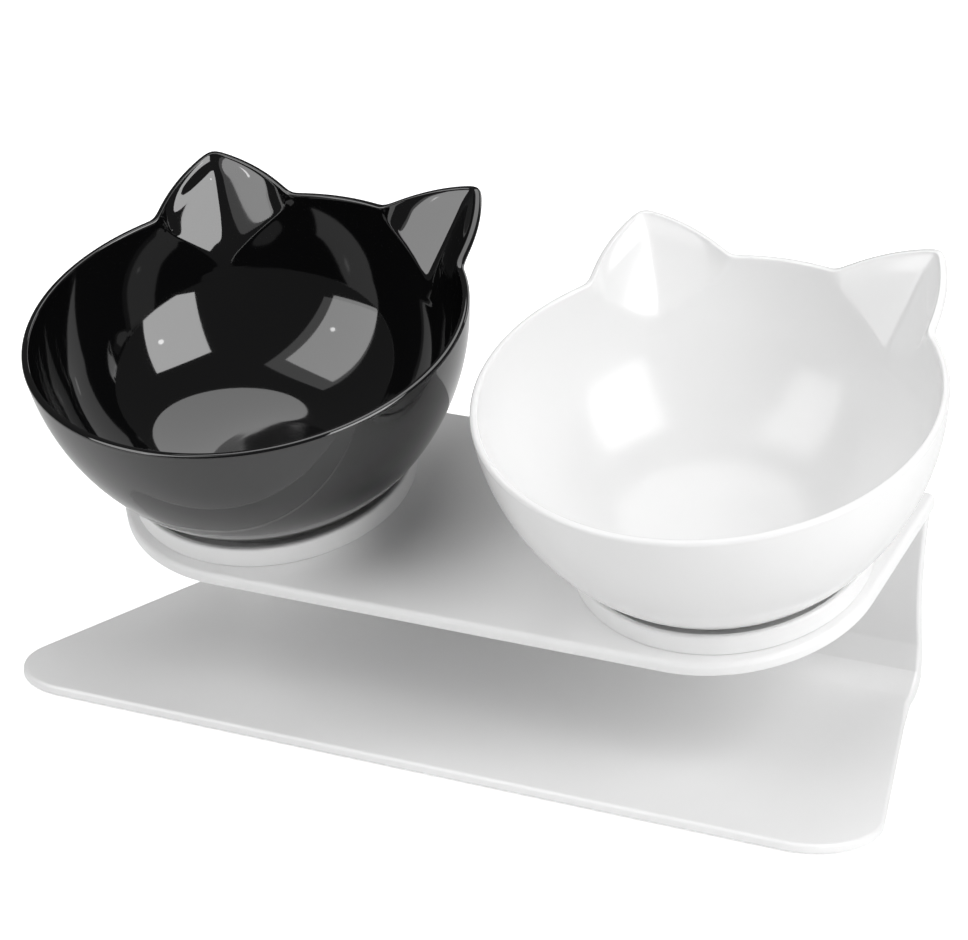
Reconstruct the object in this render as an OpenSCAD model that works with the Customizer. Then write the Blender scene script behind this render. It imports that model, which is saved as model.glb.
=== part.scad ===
// Raised double pet bowl: two round bowls with pointed ears, lifted out of shallow
// round seats on a leaning one-piece stand.
// Millimetres. X runs along the stand, Y from the front to the back, Z up.
// The origin is on the floor, in the middle of the object's length and depth.

/* [Stand] */
// Lean of the deck, the back wall and the bowls towards the front, in degrees
stand_tilt = 20.4; // [12:0.1:28]
// Width of the base across its front corners, before they are rounded
base_front_w = 287; // [280:0.5:310]
// Width of the base at the foot of the back wall
base_foot_w = 236.8; // [215:0.2:244]
// Depth of the base from its front edge to the sharp line of the rear foot
base_depth = 129.8; // [120:0.2:142]
// Thickness of the base plate
base_t = 3; // [2.4:0.1:5]
// Radius of the base's front corners, seen from above
base_corner_r = 22; // [10:0.5:32]
// Thickness of the back wall
wall_t = 3.6; // [2.4:0.1:6]
// Length of the back wall from the sharp line of the foot to the deck's top
wall_len = 80; // [72:0.5:95]
// Outside radius of the foot, where the base turns up into the back wall
foot_out_r = 9; // [4:0.5:14]
// Inside radius of the foot
foot_in_r = 10; // [4:0.5:14]

/* [Deck] */
// Width of the deck at the back wall
deck_back_w = 250; // [246:0.2:262]
// Width of the deck across its round ends
deck_w = 241.6; // [238:0.2:250]
// Depth of the deck from its front edge to the outside of the back wall
deck_depth = 92.6; // [90:0.2:104]
// Radius of the deck's round ends
deck_end_r = 48.6; // [46:0.2:58]
// Height of the deck's edge
deck_h = 4.2; // [4:0.1:8]
// Thickness of the deck's plate inside that edge
deck_plate_t = 2.4; // [1.8:0.1:3]
// Thickness of the edge's skirt
skirt_t = 2.6; // [1.8:0.1:4]
// Rounding of the deck's upper edge
deck_edge_r = 1.5; // [0.5:0.1:1.8]
// Rounding between the back wall and the underside of the deck
deck_root_r = 6; // [2:0.5:10]
// Thickness of the stiffening ribs under the deck
rib_t = 1.8; // [1.2:0.1:3]

/* [Seats] */
// Distance between the centres of the two seats
seat_pitch = 147; // [143:0.5:150]
// Distance of the seats' centres from the deck's front edge
seat_y = 48.7; // [47:0.1:52]
// Gap between a collar's upper edge and the bowl inside it
seat_gap = 1.7; // [1:0.1:3]
// Height of a seat above the deck
seat_h = 6.6; // [5:0.1:10]
// Thickness of a seat's upright collar
seat_wall_t = 1.9; // [1.4:0.1:3]
// Thickness of a seat's floor
seat_floor_t = 2.2; // [1.6:0.1:3]
// Height of the step that centres the bowl's foot ring
seat_step_h = 1.2; // [0.6:0.1:1.4]
// Number of screws that hold a seat
seat_screws = 3; // [2:1:4]
// Radius of the circle that the screws lie on
screw_circle_r = 24; // [16:0.5:30]

/* [Bowls] */
// Outside radius of a bowl at its rim
bowl_r = 67.5; // [65:0.5:69]
// Radius of the arc of a bowl's outside, seen from the side
bowl_arc_r = 75; // [72:0.5:84]
// Height of that arc's centre above the rim
bowl_arc_up = 4; // [0:0.5:8]
// Thickness of a bowl's wall
bowl_t = 2.2; // [1.6:0.1:3]
// Depth of the inside of a bowl
bowl_depth = 53.9; // [50:0.1:56]
// Radius between the inside wall and the bottom
bowl_bottom_r = 22; // [10:0.5:26]
// Outside radius of the foot ring
foot_r = 35.6; // [33:0.1:36.4]
// Thickness of the foot ring
foot_ring_t = 2.4; // [1.6:0.1:4]
// Height of the foot ring
foot_ring_h = 1.9; // [1.8:0.1:2.6]

/* [Ears] */
// Turn of each ear from the bowl's back, in degrees
ear_turn = 33; // [28:0.5:40]
// Half of the angle that an ear takes of the rim, in degrees
ear_half = 18.9; // [14:0.1:24]
// Distance of an ear's tip from the bowl's axis
ear_tip_r = 85.2; // [80:0.2:90]
// Height of an ear's tip above the rim
ear_tip_h = 7; // [3:0.5:11]
// How far the ears' sides bow out from straight
ear_bow = 2.2; // [0:0.1:3]
// Depth of the hollow inside an ear, below the rim
ear_deep = 17; // [12:0.5:20]
// Rounding of the tip, seen from above
ear_round_r = 3.4; // [2.8:0.1:5]

/* [Screws and pads] */
// Diameter of the screws' shanks
screw_d = 3; // [2:0.1:3.5]
// Length of the shanks
screw_len = 5; // [4.4:0.1:5.2]
// Diameter of the screw heads
screw_head_d = 5.6; // [4.5:0.1:7]
// Height of the screw heads
screw_head_h = 1.6; // [1.2:0.1:1.7]
// Diameter of the anti-slip pads
pad_d = 12; // [8:0.5:18]
// Height of a pad that shows below the base
pad_proud = 1; // [0.5:0.1:3]
// Depth of a pad's recess in the base
pad_recess = 0.8; // [0.4:0.1:1.4]
// Distance of the pads' centres from the base's edges
pad_inset = 14; // [12:0.5:24]

/* [Fits] */
// Gap around a bowl's foot ring in its seat
foot_gap = 0.35; // [0.2:0.05:0.6]
// Gap around the screws' shanks
screw_gap = 0.1; // [0.05:0.05:0.2]
// Gap around a pad in its recess
pad_gap = 0.1; // [0.05:0.05:0.3]
// Gap that is left above the seats' screw bosses
boss_gap = 0.4; // [0.3:0.05:0.8]

/* [Hidden] */
// Smoothness of turned forms, of the large arcs and of the ears' corners
$fn = 96;
arc_fn = 180;
ear_fn = 24;
// Overrun of every cut, and a length past the whole object
over = 1;
// How far a round corner stands proud of the straight sides that it joins, and one
// merged plate of another's face
blend = 0.02;
far = base_front_w + base_depth;
// Sine and cosine of the lean
ts = sin(stand_tilt);
tc = cos(stand_tilt);

// A point in the side view, in [depth, height]: up the wall's outside from the foot's
// sharp line, and in from that face
function on_wall(up, inward) = [base_depth - up * ts - inward * tc, up * tc - inward * ts];

// The foot: half of the angle between base and wall, the inner sharp corner, and where
// the two roundings leave the base and the wall
foot_half_angle = (90 - stand_tilt) / 2;
foot_in_up = (base_t + wall_t * ts) / tc;
foot_in_corner = on_wall(foot_in_up, wall_t);
foot_out_run = foot_out_r / tan(foot_half_angle);
foot_in_run = foot_in_r / tan(foot_half_angle);
foot_start_y = base_depth - foot_out_run;
foot_top_up = foot_in_up + foot_in_run;
foot_line = foot_in_corner[0] - foot_in_run;

// The base's tapered sides: where they meet the foot's, and where the plate ends inside it
side_end_y = (2 * foot_line + foot_start_y) / 3;
base_end_y = (foot_line + 2 * foot_start_y) / 3;
taper = atan((base_front_w - base_foot_w) / 2 / side_end_y);
base_corner_x = base_front_w / 2 - base_corner_r * (1 + sin(taper)) / cos(taper);
base_end_x = base_foot_w / 2 - (base_end_y - side_end_y) * tan(taper);

// The wall's hollow sides, which start above the foot and end within the deck's edge
flare_x = (deck_back_w - base_foot_w) / 2 - wall_t / 4;
flare_h = wall_len - foot_top_up;
flare_r = (flare_h * flare_h + flare_x * flare_x) / 2 / flare_x;

// The deck's front edge, its end arcs and where its sides leave them
deck_top = on_wall(wall_len, 0);
deck_front = [deck_top[0] - deck_depth * tc, deck_top[1] - deck_depth * ts];
deck_end_x = deck_w / 2 - deck_end_r;
side_dx = deck_back_w / 2 - deck_end_x;
side_dy = deck_depth - deck_end_r;
side_turn = atan2(side_dy, side_dx) - acos(deck_end_r / norm([side_dx, side_dy]));
side_len = sqrt(side_dx * side_dx + side_dy * side_dy - deck_end_r * deck_end_r);

// The bowls, from the rim down
bowl_arc_x = sqrt(bowl_arc_r * bowl_arc_r - bowl_arc_up * bowl_arc_up) - bowl_r;
bowl_base = bowl_depth + bowl_t;
bowl_foot = bowl_base + foot_ring_h;
bowl_in_r = bowl_arc_r - bowl_t;
bottom_x = sqrt(pow(bowl_in_r - bowl_bottom_r, 2)
    - pow(bowl_arc_up + bowl_depth - bowl_bottom_r, 2)) - bowl_arc_x;
rim_h = seat_floor_t + bowl_foot;
seat_step_r = foot_r + foot_gap;
seat_r = sqrt(bowl_arc_r * bowl_arc_r - pow(rim_h - seat_h + bowl_arc_up, 2)) - bowl_arc_x
    + seat_gap + seat_wall_t;
boss_h = foot_ring_h - boss_gap;
boss_d = screw_d + 2 * seat_wall_t;
pilot_deep = screw_len - deck_plate_t + boss_gap;

// The ears, seen along the middle of one: the chord of the rim, and the slope of the lip
ear_chord = bowl_r * cos(ear_half);
ear_chord_half = bowl_r * sin(ear_half);
ear_slope = atan(ear_tip_h / (ear_tip_r - ear_chord));
ear_lip = norm([ear_tip_r - ear_chord, ear_tip_h]);
ear_side = atan2(ear_chord_half - ear_round_r, ear_tip_r - ear_chord);
ear_in_r = ear_round_r - bowl_t;
// How far out and how deep the lower knuckles of the ear's hollow lie
ear_knuckle_share = 0.52;
ear_knuckle_deep_share = 0.66;
ear_low_x = bowl_r - ear_round_r - bowl_t / 2;

// The pads' places, on the base and at the foot
pad_front_x = base_corner_x;
pad_rear_x = base_foot_w / 2 - pad_inset;
pad_rear_y = foot_start_y - pad_inset;

// Front and back of the whole object, which set the origin
rim_front_y = deck_front[0] + seat_y * tc - rim_h * ts - bowl_r * tc;
foot_back_y = foot_start_y + foot_out_r;
origin_y = (rim_front_y + foot_back_y) / 2;

// From the base's own place, front edge at Y 0 and underside at Z 0, to the part's frame
module place() {
    translate([0, -origin_y, pad_proud])
        children();
}

// On the deck: X along it, Y from its front edge to the back, Z square to it, 0 on top
module on_deck() {
    place()
        translate([0, deck_front[0], deck_front[1]])
            rotate([stand_tilt, 0, 0])
                children();
}

// At a seat's centre on the deck, side -1 on the left and 1 on the right
module at_seat(side) {
    on_deck()
        translate([side * seat_pitch / 2, seat_y, 0])
            children();
}

// At each screw of a seat
module at_screws() {
    for (i = [0 : seat_screws - 1])
        rotate([0, 0, 90 + i * 360 / seat_screws])
            translate([screw_circle_r, 0, 0])
                children();
}

// Cross-section of a plate's edge: its face on the Y axis, the plate to the right, the
// top at height 0 and the upper corner rounded
module edge_profile(w, h, r) {
    translate([0, -h])
        square([w, h - r]);
    translate([r, -h])
        square([w - r, h]);
    translate([r, -r])
        circle(r);
}

// The same edge on a disc, from its middle out
module disc_profile(radius, h, r) {
    translate([0, -h])
        square([radius, h - r]);
    translate([0, -h])
        square([radius - r, h]);
    translate([radius - r, -r])
        circle(r);
}

// A straight edge of a plate that starts at a point, with the plate on its left
module edge_bar(from, len, turn, w, h, r) {
    translate([from[0], from[1], 0])
        rotate([90, 0, 90 + turn])
            linear_extrude(len)
                edge_profile(w, h, r);
}

// A round corner of a plate
module edge_disc(x, y, radius, h, r) {
    translate([x, y, 0])
        rotate_extrude($fn = arc_fn)
            disc_profile(radius + blend, h, r);
}

// The base in front of the foot
module base_front() {
    touch_x = base_corner_x + base_corner_r * cos(taper);
    touch_y = base_corner_r + base_corner_r * sin(taper);
    linear_extrude(base_t) {
        polygon([
            [-base_corner_x, 0],
            [base_corner_x, 0],
            [touch_x, touch_y],
            [base_end_x, base_end_y],
            [-base_end_x, base_end_y],
            [-touch_x, touch_y]]);
        for (side = [-1, 1])
            translate([side * base_corner_x, base_corner_r])
                circle(base_corner_r + blend, $fn = arc_fn);
    }
}

// The deck seen from above, drawn in by an inset
module deck_plan(inset) {
    r = deck_end_r - inset;
    for (side = [-1, 1])
        translate([side * deck_end_x, deck_end_r])
            circle(r + blend, $fn = arc_fn);
    for (side = [-1, 1])
        polygon([
            [0, inset],
            [side * deck_end_x, inset],
            [side * deck_end_x, deck_end_r],
            [side * (deck_end_x + r * cos(side_turn)), deck_end_r + r * sin(side_turn)],
            [side * (deck_back_w / 2 - inset), deck_depth + over],
            [0, deck_depth + over]]);
}

// Side view of the foot and the back wall, in one bend
module bend_section() {
    in_centre = [foot_line, base_t + foot_in_r];
    top = wall_len - deck_h / 2;
    difference() {
        polygon([
            [foot_line, 0],
            [base_depth, 0],
            on_wall(top, 0),
            on_wall(top, wall_t),
            on_wall(foot_top_up, wall_t),
            in_centre,
            [foot_line, base_t]]);
        translate(in_centre)
            circle(foot_in_r + blend, $fn = arc_fn);
        difference() {
            polygon([
                [base_depth + over, -over],
                [foot_start_y, -over],
                [foot_start_y, foot_out_r],
                on_wall(foot_out_run, 0),
                on_wall(foot_out_run, -over)]);
            translate([foot_start_y, foot_out_r])
                circle(foot_out_r + blend, $fn = arc_fn);
        }
    }
}

// The foot and the straight part of the back wall
module bend() {
    translate([-base_foot_w / 2, 0, 0])
        rotate([90, 0, 90])
            linear_extrude(base_foot_w)
                bend_section();
}

// The wall's wider part on each side, in the deck's own place
module flares() {
    from_x = base_foot_w / 4;
    for (side = [-1, 1])
        translate([0, deck_depth - blend, -wall_len])
            rotate([90, 0, 0])
                linear_extrude(wall_t - 2 * blend)
                    mirror([side < 0 ? 1 : 0, 0])
                        difference() {
                            translate([from_x, foot_top_up])
                                square([base_foot_w / 2 + flare_x - from_x,
                                    flare_h - deck_h / 3]);
                            translate([base_foot_w / 2 + flare_r + 2 * blend, foot_top_up])
                                circle(flare_r, $fn = 2 * arc_fn);
                        }
}

// The deck's plate and rounded edge, solid, in the deck's own place
module deck_solid() {
    touch = [deck_end_x + deck_end_r * cos(side_turn),
        deck_end_r + deck_end_r * sin(side_turn)];
    intersection() {
        union() {
            for (side = [-1, 1])
                edge_disc(side * deck_end_x, deck_end_r, deck_end_r, deck_h, deck_edge_r);
            edge_bar([-deck_end_x, 0], 2 * deck_end_x, 0, deck_end_r, deck_h, deck_edge_r);
            edge_bar(touch, side_len + over, 90 + side_turn, deck_end_r, deck_h,
                deck_edge_r);
            mirror([1, 0, 0])
                edge_bar(touch, side_len + over, 90 + side_turn, deck_end_r, deck_h,
                    deck_edge_r);
            translate([0, 0, -deck_h])
                linear_extrude(deck_h)
                    deck_plan(2 * deck_edge_r);
        }
        translate([-far / 2, -over, -deck_h - over])
            cube([far, deck_depth + blend + over, deck_h + 2 * over]);
    }
}

// The hollow under the deck, between its skirt and the back wall, less the ribs
module deck_hollow() {
    root_y = deck_depth - wall_t - deck_root_r;
    difference() {
        translate([0, 0, -deck_h - over])
            linear_extrude(deck_h - deck_plate_t + over)
                intersection() {
                    deck_plan(skirt_t);
                    translate([-far / 2, 0])
                        square([far, root_y]);
                }
        for (x = [-1, 0, 1])
            translate([x * seat_pitch / 2 - rib_t / 2, 0, -deck_h])
                cube([rib_t, deck_depth, deck_h]);
        for (side = [-1, 1])
            translate([side * seat_pitch / 2, seat_y, -deck_h])
                at_screws()
                    cylinder(h = deck_h, d = screw_head_d + 2 * skirt_t);
    }
}

// The rounding between the deck's underside and the back wall
module deck_root() {
    corner_y = deck_depth - wall_t;
    translate([-base_foot_w / 2 - flare_x / 2, 0, 0])
        rotate([90, 0, 90])
            linear_extrude(base_foot_w + flare_x)
                difference() {
                    translate([corner_y - deck_root_r, -deck_h - deck_root_r])
                        square([deck_root_r + wall_t / 2, deck_root_r + deck_h / 2]);
                    translate([corner_y - deck_root_r, -deck_h - deck_root_r])
                        circle(deck_root_r + blend);
                }
}

// One moulding: base, foot, leaning back wall and deck
module stand() {
    color("white")
        difference() {
            union() {
                place() {
                    base_front();
                    bend();
                }
                on_deck() {
                    difference() {
                        deck_solid();
                        deck_hollow();
                    }
                    deck_root();
                    flares();
                }
            }
            for (side = [-1, 1])
                at_seat(side)
                    at_screws() {
                        translate([0, 0, -deck_h - over])
                            cylinder(h = deck_h + 2 * over, d = screw_d + 2 * screw_gap);
                        translate([0, 0, -deck_h - over])
                            cylinder(h = deck_h - deck_plate_t + over,
                                d = screw_head_d + 2 * screw_gap);
                    }
            for (side = [-1, 1], rear = [false, true])
                at_pad(side, rear)
                    translate([0, 0, -over])
                        cylinder(h = pad_recess + over, d = pad_d + 2 * pad_gap);
        }
}

// At a pad's centre, on the underside of the base
module at_pad(side, rear) {
    place()
        translate([side * (rear ? pad_rear_x : pad_front_x),
                rear ? pad_rear_y : pad_inset, 0])
            children();
}

// One anti-slip pad
module pad(side, rear) {
    color("lightgray")
        at_pad(side, rear)
            translate([0, 0, -pad_proud])
                cylinder(h = pad_proud + pad_recess, d = pad_d);
}

// One seat: a collar, a floor with a step that centres the foot ring, and screw bosses
module seat(side) {
    color("white")
        at_seat(side)
            difference() {
                union() {
                    difference() {
                        translate([0, 0, seat_h])
                            rotate_extrude($fn = arc_fn)
                                disc_profile(seat_r, seat_h, seat_wall_t / 4);
                        translate([0, 0, seat_floor_t + seat_step_h])
                            cylinder(h = seat_h, r = seat_r - seat_wall_t, $fn = arc_fn);
                        translate([0, 0, seat_floor_t])
                            cylinder(h = seat_h, r = seat_step_r, $fn = arc_fn);
                    }
                    at_screws()
                        cylinder(h = seat_floor_t + boss_h, d = boss_d);
                }
                at_screws()
                    translate([0, 0, -over])
                        cylinder(h = pilot_deep + over, d = screw_d + 2 * screw_gap);
            }
}

// The screws of one seat, driven up from under the deck
module seat_screw_set(side) {
    color("silver")
        at_seat(side)
            at_screws()
                translate([0, 0, -deck_plate_t]) {
                    cylinder(h = screw_len, d = screw_d);
                    translate([0, 0, -screw_head_h])
                        cylinder(h = screw_head_h, d = screw_head_d);
                }
}

// Half of a bowl's outline down to a depth, for a given arc radius
module bowl_half(radius, deep, up) {
    intersection() {
        translate([-bowl_arc_x, bowl_arc_up])
            circle(radius, $fn = 2 * arc_fn);
        translate([0, -deep])
            square([bowl_arc_r, deep + up]);
    }
}

// A bowl's outside, turned about its axis, with a half-round rim
module bowl_outside() {
    rim_in = sqrt(bowl_in_r * bowl_in_r - bowl_arc_up * bowl_arc_up) - bowl_arc_x;
    lip_r = (bowl_r - rim_in) / 2;
    rotate_extrude($fn = arc_fn) {
        bowl_half(bowl_arc_r, bowl_base, -lip_r);
        translate([bowl_r - lip_r, -lip_r])
            circle(lip_r);
        translate([0, -bowl_foot])
            square([foot_r, foot_ring_h + bowl_t]);
    }
}

// The inside of a bowl, and the hollow within its foot ring
module bowl_inside() {
    flat_top = bowl_bottom_r - bowl_depth;
    reach = bowl_in_r / (bowl_in_r - bowl_bottom_r);
    rotate_extrude($fn = arc_fn) {
        difference() {
            bowl_half(bowl_in_r, bowl_depth, over);
            difference() {
                polygon([
                    [bottom_x, flat_top],
                    [bottom_x, -bowl_depth - over],
                    [bowl_arc_r, -bowl_depth - over],
                    [reach * (bottom_x + bowl_arc_x) - bowl_arc_x,
                        reach * (flat_top - bowl_arc_up) + bowl_arc_up]]);
                translate([bottom_x, flat_top])
                    circle(bowl_bottom_r, $fn = arc_fn);
            }
        }
        translate([0, -bowl_foot - over])
            square([foot_r - foot_ring_t, foot_ring_h + over]);
    }
}

// Knuckles of an ear: two on the rim, one at the tip, two that bow out its sides and three
// below
module ear_form(radius, lift) {
    hull() {
        for (side = [-1, 1], up = [0, lift])
            translate([ear_chord - ear_round_r, side * (ear_chord_half - ear_round_r), up])
                sphere(radius, $fn = ear_fn);
        for (up = [0, lift])
            translate([ear_tip_r - ear_round_r, 0, ear_tip_h + up])
                sphere(radius, $fn = ear_fn);
        for (side = [-1, 1])
            translate([(ear_chord + ear_tip_r) / 2 - ear_round_r + ear_bow * sin(ear_side),
                    side * ((ear_chord_half - ear_round_r) / 2 + ear_bow * cos(ear_side)),
                    ear_tip_h / 2])
                sphere(radius, $fn = ear_fn);
        for (side = [-1, 1])
            translate([ear_low_x, side * ear_chord_half * ear_knuckle_share,
                    -ear_deep * ear_knuckle_deep_share])
                sphere(radius, $fn = ear_fn);
        translate([ear_low_x - ear_in_r, 0, ear_in_r - ear_deep])
            sphere(radius, $fn = ear_fn);
    }
}

// At each ear: X out along its middle, Z up from the rim
module at_ears() {
    for (side = [-1, 1])
        rotate([0, 0, 90 + side * ear_turn])
            children();
}

// One bowl with its two hollow ears
module bowl(side) {
    at_seat(side)
        translate([0, 0, rim_h])
            difference() {
                union() {
                    bowl_outside();
                    at_ears()
                        difference() {
                            ear_form(ear_round_r, 0);
                            translate([ear_chord, -bowl_r, 0])
                                rotate([0, -ear_slope, 0])
                                    translate([-bowl_r, 0, 0])
                                        cube([2 * bowl_r, 2 * bowl_r, bowl_r]);
                        }
                }
                bowl_inside();
                at_ears()
                    ear_form(ear_in_r, ear_deep);
            }
}

module black_bowl() {
    color("#161618")
        bowl(-1);
}

module white_bowl() {
    color("#f4f4f4")
        bowl(1);
}

module seat_left() {
    seat(-1);
}

module seat_right() {
    seat(1);
}

module seat_screws_left() {
    seat_screw_set(-1);
}

module seat_screws_right() {
    seat_screw_set(1);
}

module pad_front_left() {
    pad(-1, false);
}

module pad_front_right() {
    pad(1, false);
}

module pad_rear_left() {
    pad(-1, true);
}

module pad_rear_right() {
    pad(1, true);
}

stand();
seat_left();
seat_right();
seat_screws_left();
seat_screws_right();
pad_front_left();
pad_front_right();
pad_rear_left();
pad_rear_right();
black_bowl();
white_bowl();
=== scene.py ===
"""Looks of the double pet bowl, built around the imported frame. Lengths are in millimetres
until a mesh is made, in the frames that the part's own places define."""
import math
import bmesh
import bpy
import numpy as np
from mathutils import Matrix, Vector


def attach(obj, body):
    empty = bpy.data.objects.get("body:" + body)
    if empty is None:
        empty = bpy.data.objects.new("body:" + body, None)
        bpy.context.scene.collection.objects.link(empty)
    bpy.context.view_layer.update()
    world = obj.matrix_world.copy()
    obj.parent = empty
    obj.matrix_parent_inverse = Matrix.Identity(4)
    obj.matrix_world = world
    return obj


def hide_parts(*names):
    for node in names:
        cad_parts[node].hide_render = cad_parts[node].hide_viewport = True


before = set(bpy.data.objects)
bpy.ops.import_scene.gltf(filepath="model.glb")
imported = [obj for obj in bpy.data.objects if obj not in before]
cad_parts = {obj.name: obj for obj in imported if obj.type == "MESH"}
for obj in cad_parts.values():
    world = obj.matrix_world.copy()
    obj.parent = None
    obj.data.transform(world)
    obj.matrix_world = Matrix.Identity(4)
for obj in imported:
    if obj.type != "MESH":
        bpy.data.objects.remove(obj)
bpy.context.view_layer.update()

MM = 0.001
# Rows and columns are doubled
FINE = 2

# The part's own sizes
TILT_DEG = 20.4
TILT = math.radians(TILT_DEG)
TS, TC = math.sin(TILT), math.cos(TILT)
BASE_FRONT_W, BASE_FOOT_W, BASE_DEPTH, BASE_T, BASE_CORNER_R = 287.0, 236.8, 129.8, 3.0, 22.0
WALL_T, WALL_LEN, FOOT_OUT_R, FOOT_IN_R = 3.6, 80.0, 9.0, 10.0
DECK_BACK_W, DECK_W, DECK_DEPTH, DECK_END_R = 250.0, 241.6, 92.6, 48.6
DECK_H, DECK_PLATE_T, SKIRT_T, DECK_ROOT_R, RIB_T = 4.2, 2.4, 2.6, 6.0, 1.8
SEAT_X, SEAT_Y, SEAT_R, SEAT_H = 73.5, 48.7, 44.24, 6.6
SEAT_WALL_T, SEAT_FLOOR_T, SEAT_STEP_H = 1.9, 2.2, 1.2
SCREW_CIRCLE_R, SCREW_D, SCREW_LEN, SCREW_HEAD_D, SCREW_HEAD_H = 24.0, 3.0, 5.0, 5.6, 1.6
BOWL_R, BOWL_ARC_R, BOWL_ARC_UP, BOWL_T = 67.5, 75.0, 4.0, 2.2
BOWL_DEPTH, BOWL_BOTTOM_R = 53.9, 48.0
FOOT_R, FOOT_RING_T, FOOT_RING_H = 35.6, 2.4, 1.9
EAR_TURN, EAR_HALF, EAR_TIP_R, EAR_TIP_H, EAR_BOW = 33.0, 18.85, 86.2, 7.2, 2.3
PAD_D, PAD_PROUD, PAD_RECESS, PAD_INSET = 12.0, 1.0, 0.8, 14.0
FOOT_GAP = 0.35

# The three screws of a seat, from its middle
SCREW_SPOTS = [(SCREW_CIRCLE_R * math.cos(math.radians(turn)),
                SCREW_CIRCLE_R * math.sin(math.radians(turn))) for turn in (90, 210, 330)]

FOOT_TURN = math.radians(90 - TILT_DEG)
FOOT_HALF = FOOT_TURN / 2
foot_in_up = (BASE_T + WALL_T * TS) / TC
foot_out_run = FOOT_OUT_R / math.tan(FOOT_HALF)
foot_in_run = FOOT_IN_R / math.tan(FOOT_HALF)


def on_wall(up, inward):
    """Side view of the back wall: up along its outer face and inward from it."""
    return np.array([BASE_DEPTH - up * TS - inward * TC, up * TC - inward * TS])


foot_start_y = BASE_DEPTH - foot_out_run
foot_top_up = foot_in_up + foot_in_run
foot_line = on_wall(foot_in_up, WALL_T)[0] - foot_in_run
side_end_y = (2 * foot_line + foot_start_y) / 3
taper = math.atan((BASE_FRONT_W - BASE_FOOT_W) / 2 / side_end_y)
base_corner_x = BASE_FRONT_W / 2 - BASE_CORNER_R * (1 + math.sin(taper)) / math.cos(taper)
flare_x = (DECK_BACK_W - BASE_FOOT_W) / 2 - WALL_T / 4
flare_h = WALL_LEN - foot_top_up
flare_r = (flare_h * flare_h + flare_x * flare_x) / 2 / flare_x
deck_top = on_wall(WALL_LEN, 0)
deck_front = deck_top - DECK_DEPTH * np.array([TC, TS])
bowl_arc_x = math.sqrt(BOWL_ARC_R ** 2 - BOWL_ARC_UP ** 2) - BOWL_R
bowl_base = BOWL_DEPTH + BOWL_T
bowl_foot = bowl_base + FOOT_RING_H
rim_h = SEAT_FLOOR_T + bowl_foot
rim_front_y = deck_front[0] + SEAT_Y * TC - rim_h * TS - BOWL_R * TC
origin_y = (rim_front_y + foot_start_y + FOOT_OUT_R) / 2


# The pieces' places
def place(v):
    """From the base's own place to the part's frame."""
    return np.stack([v[:, 0], v[:, 1] - origin_y, v[:, 2] + PAD_PROUD], axis=1)


def on_deck(v):
    """From the deck's own place: X along it, Y from its front edge, Z square to it."""
    y = deck_front[0] + v[:, 1] * TC - v[:, 2] * TS
    z = deck_front[1] + v[:, 1] * TS + v[:, 2] * TC
    return place(np.stack([v[:, 0], y, z], axis=1))


def at_seat(side):
    """From the seat's own place: Z along the bowl's axis, from the deck's face."""
    def there(v):
        return on_deck(v + np.array([side * SEAT_X, SEAT_Y, 0.0]))
    return there


# Mesh tools
WELD = 0.002


class Shell:
    """Vertices and faces of one piece, gathered part by part and welded at the end."""

    def __init__(self):
        self.v, self.f = [], []
        self.n = 0

    def add(self, verts, faces):
        self.v.append(np.asarray(verts, float))
        self.f += [tuple(i + self.n for i in face) for face in faces]
        self.n += len(verts)

    def grid(self, pts, flip=False, closed=False):
        """pts[row][column] as an array; quads between neighbours."""
        rows, cols = pts.shape[:2]
        idx = np.arange(rows * cols).reshape(rows, cols)
        last = cols if closed else cols - 1
        faces = []
        for i in range(rows - 1):
            for j in range(last):
                k = (j + 1) % cols
                q = (idx[i, j], idx[i, k], idx[i + 1, k], idx[i + 1, j])
                faces.append(q[::-1] if flip else q)
        self.add(pts.reshape(-1, 3), faces)

    def tube(self, pts):
        """Closed rings, with a face over either end."""
        self.grid(pts, closed=True)
        end = tuple(range(pts.shape[1]))
        self.add(pts[0], [end[::-1]])
        self.add(pts[-1], [end])

    def make(self, name, where, body, node, material):
        """The finished piece, welded, smooth and dressed."""
        co = where(np.concatenate(self.v)) * MM
        mesh = bpy.data.meshes.new(name)
        mesh.from_pydata([tuple(c) for c in co], [], self.f)
        bm = bmesh.new()
        bm.from_mesh(mesh)
        bmesh.ops.remove_doubles(bm, verts=bm.verts, dist=WELD * MM)
        bmesh.ops.dissolve_degenerate(bm, edges=bm.edges, dist=WELD * MM * 0.5)
        bmesh.ops.recalc_face_normals(bm, faces=bm.faces)
        bm.to_mesh(mesh)
        bm.free()
        for p in mesh.polygons:
            p.use_smooth = True
        obj = bpy.data.objects.new(name, mesh)
        bpy.context.scene.collection.objects.link(obj)
        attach(obj, body)
        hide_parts(node)
        mesh.materials.append(material)
        return obj


def arc(cx, cy, r, a0, a1, n):
    """Points on an arc, angles in degrees."""
    a = np.radians(np.linspace(a0, a1, n + 1))
    return [(cx + r * math.cos(t), cy + r * math.sin(t)) for t in a]


def lathe(shell, profile, segments, shift=(0, 0, 0)):
    """Turns a profile of (radius, height) about the Z axis; it starts and ends on the axis
    or is closed by welding."""
    p = np.array(profile)
    a = np.linspace(0, 2 * math.pi, segments, endpoint=False)
    pts = np.empty((len(p), segments, 3))
    pts[:, :, 0] = p[:, 0:1] * np.cos(a) + shift[0]
    pts[:, :, 1] = p[:, 0:1] * np.sin(a) + shift[1]
    pts[:, :, 2] = p[:, 1:2] + shift[2]
    shell.grid(pts, closed=True)


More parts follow.
